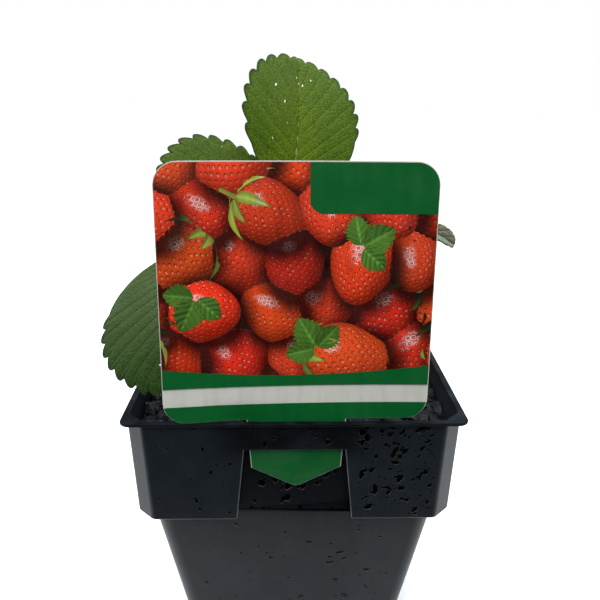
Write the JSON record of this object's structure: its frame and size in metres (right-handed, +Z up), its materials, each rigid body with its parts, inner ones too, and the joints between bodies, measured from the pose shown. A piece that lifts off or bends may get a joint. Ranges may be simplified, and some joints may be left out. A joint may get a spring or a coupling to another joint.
{
  "type": "potted strawberry plant",
  "caption": "Young strawberry plant with toothed three-part leaves in a square black nursery pot of soil, with a printed plastic label standing in the pot's slot.",
  "frame": {"origin": "centre of the pot's flat base, on the surface that it stands on", "axes": "+Z up, the longest way of the plant and pot; -Y is the front, where the label stands; +X to the right of someone who reads the label"},
  "size_m": [0.1047, 0.0968, 0.1794],
  "materials": {
    "pot": "black moulded polypropylene with a satin sheen",
    "soil": "wet dark potting mix of peat and bark",
    "crown": "brown papery leaf bases",
    "leaf": "fresh green, slightly glossy on top",
    "young_leaf": "grey-green, downy",
    "label": "printed plastic card, glossy, green and red"
  },
  "bodies": {
    "root": {"pot": "pot", "soil": "soil", "crown": "crown", "leaf_tall": "leaf", "leaf_left": "leaf", "leaf_back": "leaf", "leaf_young": "young_leaf", "label": "label"}
  },
  "joints": []
}
